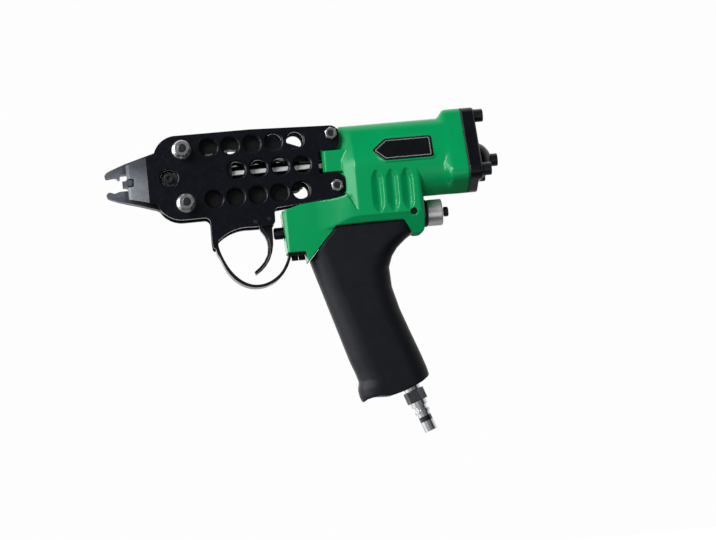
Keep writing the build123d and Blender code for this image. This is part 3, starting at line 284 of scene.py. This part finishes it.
FINE = (700.0, 700.0, 700.0)
MATS = {
    # green paint: its 0.22 edge argument paints a highlight on its corners
    "green_paint": painted("green_paint", (0.0006, 0.305, 0.093), (0.0005, 0.278, 0.083), (0.004, 0.40, 0.14), (0.19, 0.27), 0.25, 1.0, 0.22, under=True),
    "black_oxide": blackened("black_oxide", (0.0030, 0.0037, 0.0057), (0.022, 0.025, 0.031), (0.22, 0.31), 0.0, (420.0, 420.0, 420.0), 0.32, 0.7),
    # side plates: the ground nose bevel is painted darker at the top and lighter at the bottom as shading
    "side_plate": blackened("side_plate", (0.0020, 0.0027, 0.0048), (0.010, 0.012, 0.017), (0.18, 0.26), 0.0, (420.0, 420.0, 420.0), 0.20, 0.6, 0.25, ground=((0.034, 0.038, 0.050), (0.165, 0.180, 0.200))),
    "jaw_steel": blackened("jaw_steel", (0.036, 0.040, 0.049), (0.11, 0.115, 0.13), (0.30, 0.40), 0.6, (110.0, 1500.0, 1500.0), 0.2, 1.4, 0.35, tip=(-34.0, -24.0)),
    "anvil_steel": blackened("anvil_steel", (0.060, 0.065, 0.076), (0.16, 0.17, 0.19), (0.30, 0.40), 0.5, (110.0, 1500.0, 1500.0), 0.5, 1.2, 0.3, tip=(-34.0, -26.0)),
    "bolt_steel": blackened("bolt_steel", (0.011, 0.0125, 0.0155), (0.060, 0.064, 0.072), (0.26, 0.36), 0.3, (600.0, 600.0, 600.0), 0.5, 1.0, 0.3),
    "zinc_plate": bare_metal("zinc_plate", (0.44, 0.44, 0.45), (0.14, 0.15, 0.16), (0.18, 0.27), FINE, metal=0.95),
    "bright_steel": bare_metal("bright_steel", (0.80, 0.81, 0.83), (0.50, 0.51, 0.53), (0.08, 0.14), (3500.0, 60.0, 60.0), 0.03, 0.3, 1.0),
    # the rod: a painted highlight between -1.7 and 2.4 mm on the rod axis, painted shade above and below it
    "rod_steel": bare_metal("rod_steel", (0.90, 0.91, 0.93), (0.66, 0.67, 0.69), (0.16, 0.24), (3500.0, 60.0, 60.0), 0.03, 0.25, 0.35, painted_light_band=(-1.7, 2.4)),
    # black cap: its 0.35 edge argument paints a highlight on its corners
    "black_cap": painted("black_cap", (0.0024, 0.0032, 0.0052), (0.0018, 0.0025, 0.0042), (0.012, 0.016, 0.024), (0.22, 0.31), 0.27, 1.3, 0.35),
    "black_screw": blackened("black_screw", (0.0058, 0.0066, 0.0086), (0.060, 0.062, 0.068), (0.25, 0.36), 0.2, (900.0, 300.0, 300.0), 0.4),
    "grip_rubber": moulded("grip_rubber", (0.0062, 0.0070, 0.0094), (0.0084, 0.0094, 0.0122), (0.36, 0.48), 2600.0, 1.0, 0.0, 0.11),
    "seal_rubber": moulded("seal_rubber", (0.008, 0.008, 0.009), (0.014, 0.014, 0.015), (0.45, 0.6), 1800.0, 0.7),
    "gasket_fibre": moulded("gasket_fibre", (0.030, 0.031, 0.030), (0.048, 0.048, 0.045), (0.6, 0.8), 1400.0, 1.2),
    "urethane": moulded("urethane", (0.34, 0.17, 0.035), (0.42, 0.23, 0.06), (0.3, 0.42), 900.0, 0.5),
    "bronze": bare_metal("bronze", (0.52, 0.33, 0.14), (0.28, 0.16, 0.06), (0.28, 0.40), (1800.0, 90.0, 90.0)),
    "piston_alloy": bare_metal("piston_alloy", (0.60, 0.61, 0.62), (0.38, 0.39, 0.40), (0.28, 0.40), (2600.0, 70.0, 70.0)),
    "plug_alloy": bare_metal("plug_alloy", (0.78, 0.79, 0.79), (0.54, 0.53, 0.51), (0.24, 0.34), (2200.0, 60.0, 60.0), 0.08, 0.35),
    # air plug: the hex length darker, and the length from 24.6 to 28.2 mm darkened as painted shade in the groove
    # between collar and tip
    "plug_plate": bare_metal("plug_plate", (0.76, 0.77, 0.79), (0.34, 0.35, 0.36), (0.10, 0.18), (700.0, 90.0, 1800.0), 0.05, 0.5, 1.0, zones=(((0.060, 0.064, 0.070), 3.5, 12.2), ((0.055, 0.056, 0.060), 24.6, 28.2))),
    "spring_steel": bare_metal("spring_steel", (0.44, 0.44, 0.45), (0.20, 0.20, 0.21), (0.24, 0.36), (600.0, 600.0, 600.0)),
    "label_line": painted("label_line", (0.205, 0.235, 0.235), (0.165, 0.190, 0.190), (0.30, 0.33, 0.33), (0.24, 0.34), 0.4, 0.4, 0.0),
    "label_plate": painted("label_plate", (0.0030, 0.0040, 0.0052), (0.0022, 0.0030, 0.0040), (0.008, 0.010, 0.012), (0.20, 0.28), 0.35, 0.5, 0.0),
}
# the same finishes on their broken edges, rubbed by handling; on the air plug also lighter and less metallic as a
# painted highlight
EDGE_WEAR_AND_SHINE = {
    "black_oxide": blackened("black_oxide_edge", (0.0060, 0.0070, 0.0092), (0.045, 0.048, 0.054), (0.20, 0.28), 0.1, (400.0, 400.0, 400.0), 0.42, 0.8, 0.35),
    "jaw_steel": blackened("jaw_steel_edge", (0.075, 0.080, 0.092), (0.24, 0.25, 0.27), (0.26, 0.34), 0.6, (400.0, 1500.0, 1500.0), 0.25, 1.0, 0.5, tip=(-34.0, -24.0)),
    "black_screw": blackened("black_screw_edge", (0.013, 0.014, 0.016), (0.09, 0.092, 0.098), (0.22, 0.30), 0.3, (900.0, 300.0, 300.0), 0.45, 1.0, 0.4),
}
EDGE_WEAR_AND_SHINE["side_plate"] = EDGE_WEAR_AND_SHINE["black_oxide"]
# painted highlight: the plug's broken edges lighter and less metallic than its plating, so they stay bright under any
# light
EDGE_WEAR_AND_SHINE["plug_plate"] = bare_metal("plug_plate_edge", (0.88, 0.89, 0.90), (0.60, 0.61, 0.62), (0.14, 0.22), (700.0, 90.0, 1800.0), 0.05, 0.3, 0.35)


# ---------------------------------------------------------------- mesh tools
def taken(node):
    """A welded working copy of a node's mesh."""
    bm = bmesh.new()
    bm.from_mesh(nodes[node].data)
    for layer in list(bm.loops.layers.uv):
        bm.loops.layers.uv.remove(layer)
    bmesh.ops.remove_doubles(bm, verts=bm.verts, dist=2e-6)
    return bm


def shown(name, mesh):
    o = bpy.data.objects.new(name, mesh)
    scene.collection.objects.link(o)
    return o


def meshed(bm, name):
    me = bpy.data.meshes.new(name)
    bm.to_mesh(me)
    bm.free()
    return me


def settled(o):
    """Makes an object's modifiers part of its mesh."""
    dg = bpy.context.evaluated_depsgraph_get()
    dg.update()
    mesh = bpy.data.meshes.new_from_object(o.evaluated_get(dg), preserve_all_data_layers=True, depsgraph=dg)
    o.modifiers.clear()
    old, o.data = o.data, mesh
    bpy.data.meshes.remove(old)
    return o


def smooth(me):
    me.polygons.foreach_set("use_smooth", np.ones(len(me.polygons), dtype=bool))


def finished(o, node, mats, ride=True):
    """Gives a piece its finish and body, in place of a node."""
    o.data.materials.clear()
    for m in mats:
        o.data.materials.append(m)
    if ride:
        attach(o, BODY[node])
    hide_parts(node)
    return o


def edged(node, width, finish=None, segments=2, angle=28.0, flat=0.25):
    """A node with its sharp edges broken by a small radius (mm)."""
    finish = finish or SLOT[node]
    bm = taken(node)
    bmesh.ops.dissolve_limit(bm, angle_limit=math.radians(flat), use_dissolve_boundaries=False, verts=bm.verts, edges=bm.edges)
    me = meshed(bm, node + "_skin")
    smooth(me)
    me.materials.append(None)
    me.materials.append(None)
    o = shown(node + "_skin", me)
    b = o.modifiers.new("edge", "BEVEL")
    b.width, b.segments, b.limit_method, b.angle_limit = width * MM, segments, "ANGLE", math.radians(angle)
    b.use_clamp_overlap, b.miter_outer, b.material = True, "MITER_ARC", 1
    n = o.modifiers.new("shade", "WEIGHTED_NORMAL")
    n.mode, n.weight, n.keep_sharp = "FACE_AREA", 100, False
    return finished(settled(o), node, (MATS[finish], EDGE_WEAR_AND_SHINE.get(finish, MATS[finish])))


def cast(node, voxel, rounds, faces=None, calm=None):
    """A node with the soft edges of a casting or moulding (voxel in mm).
    calm gives a length of the rod axis that is blended more: where it starts, is full, is full to and ends (mm)."""
    o = shown(node + "_skin", meshed(taken(node), node + "_skin"))
    r = o.modifiers.new("grid", "REMESH")
    r.mode, r.voxel_size, r.adaptivity, r.use_smooth_shade = "VOXEL", voxel * MM, 0.0, True
    s = o.modifiers.new("soft", "SMOOTH")
    s.factor, s.iterations = 0.5, rounds
    settled(o)
    if calm:
        co = np.empty(3 * len(o.data.vertices))
        o.data.vertices.foreach_get("co", co)
        share = np.interp(co[0::3] / MM - LAYOUT.x, calm, (0.0, 1.0, 1.0, 0.0))
        group = o.vertex_groups.new(name="calm")
        for k in range(1, 11):
            group.add(np.flatnonzero(np.rint(share * 10) == k).tolist(), k / 10.0, "REPLACE")
        s = o.modifiers.new("calm", "SMOOTH")
        s.factor, s.iterations, s.vertex_group = 0.5, 40, "calm"
        settled(o)
        o.vertex_groups.clear()
    n = 2 * len(o.data.polygons)
    if faces and n > faces:
        d = o.modifiers.new("fewer", "DECIMATE")
        d.ratio = faces / n
        settled(o)
    smooth(o.data)
    return finished(o, node, (MATS[SLOT[node]],))


def skinned(node, ride=True):
    """A node's own shape as a piece of the scene."""
    me = meshed(taken(node), node + "_skin")
    smooth(me)
    me.set_sharp_from_angle(angle=math.radians(35))
    return finished(shown(node + "_skin", me), node, (MATS[SLOT[node]],), ride)


# ------------------------------------------------------------ pieces in view
cast("housing", 0.5, 7, 180000, (187.0, 191.0, 199.0, 201.5))
cast("grip_sleeve", 0.6, 10, 110000)
cast("rear_cap", 0.36, 4, 60000)
for node in ("left_side_plate", "right_side_plate"):
    edged(node, 0.18, "side_plate")
edged("ring_anvil", 0.3, "anvil_steel")
edged("jaw_pivot_bolts", 0.3, "bolt_steel")
edged("ear_bolts", 0.22, "bolt_steel")
edged("cam_plate", 0.25, "black_oxide")
edged("piston_rod", 0.3, "rod_steel")
for node, width in (
    ("upper_jaw", 0.35), ("lower_jaw", 0.35), ("anvil_screws", 0.22),
    ("jaw_pivot_nuts", 0.3), ("ear_nuts", 0.2), ("trigger", 0.3), ("trigger_guard", 0.4),
    ("guard_screws", 0.6), ("cap_washers", 0.15), ("cap_screws", 0.3), ("exhaust_deflector", 0.3), ("deflector_screw", 0.3),
    ("valve_plug", 0.35), ("valve_plug_gasket", 0.3), ("valve_plug_screw", 0.3), ("valve_retaining_pin", 0.2), ("air_plug", 0.4),
    ("trigger_valve_stem", 0.2), ("trigger_pivot_pin", 0.2), ("trigger_stop_pin", 0.2),
):
    edged(node, width)

# springs: shown in their own shapes; the jaw springs stay in place instead of riding on a body
for node, joint, end, keep in (
    ("piston_return_spring", "ram_slide", at(134.8, 0, 0), 0.547),
    ("main_valve_spring", "main_spool_slide", at(164.8, 0, -42.0), 0.647),
    ("trigger_valve_spring", "valve_stem_slide", at(103.2, 0, -47.5), 0.853),
):
    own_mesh(skinned(node))
for node, sgn, far in (("upper_jaw_spring", 1, 17.0), ("lower_jaw_spring", -1, 16.0)):
    o = skinned(node, False)
    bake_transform(o)


# nameplate: a thin plate with rounded corners and a raised bright line near its edge
FLANK = math.asin(10.1 / 23.1)
PAD = 16.6 * math.sin(FLANK) + 12.4 + 0.2
LABEL = [(141.0, -2.4), (152.0, 7.2), (187.0, 7.2), (187.0, -11.9), (150.2, -11.9)]


def on_plate(x, s, d):
    """A point of the leaning flat: x along the rod axis, s up the slope, d proud of the flat (mm)."""
    return at(x, -(PAD + d) * math.cos(FLANK) + s * math.sin(FLANK), (PAD + d) * math.sin(FLANK) + s * math.cos(FLANK))


def inset(pts, by, radius, steps=7):
    """The outline drawn in by a distance, its corners rounded."""
    n = len(pts)
    moved = []
    turn = sum(pts[i][0] * pts[(i + 1) % n][1] - pts[(i + 1) % n][0] * pts[i][1] for i in range(n))
    side = 1.0 if turn < 0 else -1.0
    lines = []
    for i in range(n):
        a, b = Vector(pts[i]), Vector(pts[(i + 1) % n])
        u = (b - a).normalized()
        lines.append((a + Vector((u.y, -u.x)) * by * side, u))
    for i in range(n):
        (a, u), (b, v) = lines[i - 1], lines[i]
        t = ((b.x - a.x) * v.y - (b.y - a.y) * v.x) / (u.x * v.y - u.y * v.x)
        moved.append(a + u * t)
    out = []
    for i in range(n):
        p, q, r = moved[i - 1], moved[i], moved[(i + 1) % n]
        u, v = (p - q).normalized(), (r - q).normalized()
        half = u.angle(v) / 2
        reach = radius / math.tan(half)
        c = q + (u + v).normalized() * (radius / math.sin(half))
        s, e = q + u * reach - c, q + v * reach - c
        a0 = math.atan2(s.y, s.x)
        da = (math.atan2(e.y, e.x) - a0 + math.pi) % (2 * math.pi) - math.pi
        out += [(c.x + radius * math.cos(a0 + da * k / steps), c.y + radius * math.sin(a0 + da * k / steps)) for k in range(steps + 1)]
    return out


def banded(name, rings, closed, mat, cap=False):
    """A shell through rings of points on the plate: each ring is an outline and its height."""
    bm = bmesh.new()
    rows = [[bm.verts.new(on_plate(x, s, d)) for x, s in ring] for ring, d in rings]
    m = len(rows[0])
    pairs = list(zip(rows, rows[1:] + rows[:1])) if closed else list(zip(rows, rows[1:]))
    for a, b in pairs:
        for i in range(m):
            j = (i + 1) % m
            bm.faces.new((a[i], a[j], b[j], b[i]))
    if cap:
        bm.faces.new(rows[0])
        bm.faces.new(rows[-1])
    bmesh.ops.recalc_face_normals(bm, faces=bm.faces)
    me = meshed(bm, name)
    smooth(me)
    me.set_sharp_from_angle(angle=math.radians(40))
    me.materials.append(mat)
    o = shown(name, me)
    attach(o, BODY["nameplate"])
    return o


plate = banded("nameplate_skin", [(inset(LABEL, 0.03, 2.2), -0.49), (inset(LABEL, 0.03, 2.2), 0.18), (inset(LABEL, 0.09, 2.15), 0.29), (inset(LABEL, 0.22, 2.0), 0.35),
                                  (inset(LABEL, 1.45, 1.2), 0.35)], False, MATS["label_plate"], True)
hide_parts("nameplate")
banded("nameplate_line", [(inset(LABEL, 1.55, 1.15), 0.30), (inset(LABEL, 1.59, 1.15), 0.40), (inset(LABEL, 1.67, 1.1), 0.43), (inset(LABEL, 2.18, 0.85), 0.43),
                          (inset(LABEL, 2.26, 0.8), 0.40), (inset(LABEL, 2.30, 0.8), 0.30)], True, MATS["label_line"])

# every node that keeps its own mesh takes the finish of its slot
for node, o in nodes.items():
    o.data.materials.clear()
    o.data.materials.append(MATS["black_oxide" if "_roller" in node else SLOT[node]])

# ---------------------------------------------------------- floor and lights
bm = bmesh.new()
bmesh.ops.create_circle(bm, cap_ends=True, cap_tris=False, segments=128, radius=1.9)
floor = shown("floor", meshed(bm, "floor"))
floor.location = (0, 0, -0.25)
fs = Surface("floor_pale")
tone = fs.mix(fs.span(fs.noise(3.0, 3.0, 0.5), 0.3, 0.7, 0.0, 1.0), (0.86, 0.86, 0.86), (0.83, 0.83, 0.835))
fs.set(base_color=tone, roughness=0.7, emission_color=(1.0, 1.0, 1.0), emission_strength=0.55)
floor.data.materials.append(fs.m)
floor.visible_diffuse = floor.visible_glossy = floor.visible_shadow = False


def softbox(name, place, aim, size, watts, tint=(1.0, 1.0, 1.0)):
    d = bpy.data.lights.new(name, "AREA")
    d.shape, d.size, d.size_y, d.energy, d.color = "RECTANGLE", size[0], size[1], watts, tint
    o = bpy.data.objects.new(name, d)
    scene.collection.objects.link(o)
    o.location = place
    o.rotation_mode = "QUATERNION"
    o.rotation_quaternion = (Vector(aim) - Vector(place)).to_track_quat("-Z", "Y")
    return o


# the left box is seen in the polish, and a weaker one of the same size lights what faces it
shine = softbox("left_box", (-1.66, -0.34, 0.40), (0.0, 0.0, 0.05), (1.9, 1.5), 62.0)
shine.visible_diffuse = False
fill = softbox("left_fill", (-1.66, -0.34, 0.40), (0.0, 0.0, 0.05), (1.9, 1.5), 22.0)
fill.visible_glossy = False
softbox("key_box", (-1.05, -1.50, 0.98), (0.0, 0.0, 0.05), (0.9, 0.9), 44.0)
low = softbox("low_fill", (0.0, -1.0, -0.9), (0.0, 0.0, 0.0), (0.8, 0.8), 3.2)
low.visible_glossy = False

world = bpy.data.worlds.new("studio")
scene.world = world
world.use_nodes = True
wt = world.node_tree
bg = wt.nodes["Background"]
bg.inputs["Color"].default_value = (1.0, 1.0, 1.0, 1.0)
tc = wt.nodes.new("ShaderNodeTexCoord")
sep = wt.nodes.new("ShaderNodeSeparateXYZ")
wt.links.new(tc.outputs["Generated"], sep.inputs[0])


def ramped(socket, a, b, c, d):
    n = wt.nodes.new("ShaderNodeMapRange")
    n.interpolation_type = "SMOOTHSTEP"
    wt.links.new(socket, n.inputs["Value"])
    for k, v in zip(("From Min", "From Max", "To Min", "To Max"), (a, b, c, d)):
        n.inputs[k].default_value = v
    return n.outputs["Result"]


def calc(kind, a, b):
    n = wt.nodes.new("ShaderNodeMath")
    n.operation = kind
    for v, s in ((a, n.inputs[0]), (b, n.inputs[1])):
        if isinstance(v, bpy.types.NodeSocket):
            wt.links.new(v, s)
        else:
            s.default_value = v
    return n.outputs[0]


behind = calc("MULTIPLY", ramped(sep.outputs["Y"], -0.50, 0.17, 0.0, 1.4), ramped(sep.outputs["Z"], -0.40, 0.10, 0.24, 1.0))
behind = calc("MULTIPLY", behind, ramped(sep.outputs["X"], 0.12, 0.70, 1.0, 0.55))
front = ramped(sep.outputs["Y"], -0.60, -0.90, 0.0, 0.17)
table = calc("MULTIPLY", ramped(sep.outputs["Y"], -0.55, -0.75, 0.0, 0.45), calc("MULTIPLY", ramped(sep.outputs["Z"], -0.70, -0.52, 0.0, 1.0), ramped(sep.outputs["Z"], -0.06, -0.20, 0.0, 1.0)))
path = wt.nodes.new("ShaderNodeLightPath")
# a pale wall low on the left, seen in polish only
wall = calc("MULTIPLY", ramped(sep.outputs["X"], -0.66, -0.90, 0.0, 0.85), ramped(sep.outputs["Z"], -0.06, -0.18, 0.0, 1.0))
wall = calc("MULTIPLY", wall, path.outputs["Is Glossy Ray"])
glow = calc("ADD", calc("ADD", calc("ADD", calc("ADD", behind, front), table), wall), 0.02)
seen = calc("MULTIPLY", path.outputs["Is Camera Ray"], 0.985)
unseen = calc("SUBTRACT", 1.0, path.outputs["Is Camera Ray"])
share = calc("SUBTRACT", 1.0, calc("MULTIPLY", path.outputs["Is Diffuse Ray"], 0.6))
wt.links.new(calc("ADD", seen, calc("MULTIPLY", calc("MULTIPLY", glow, share), unseen)), bg.inputs["Strength"])
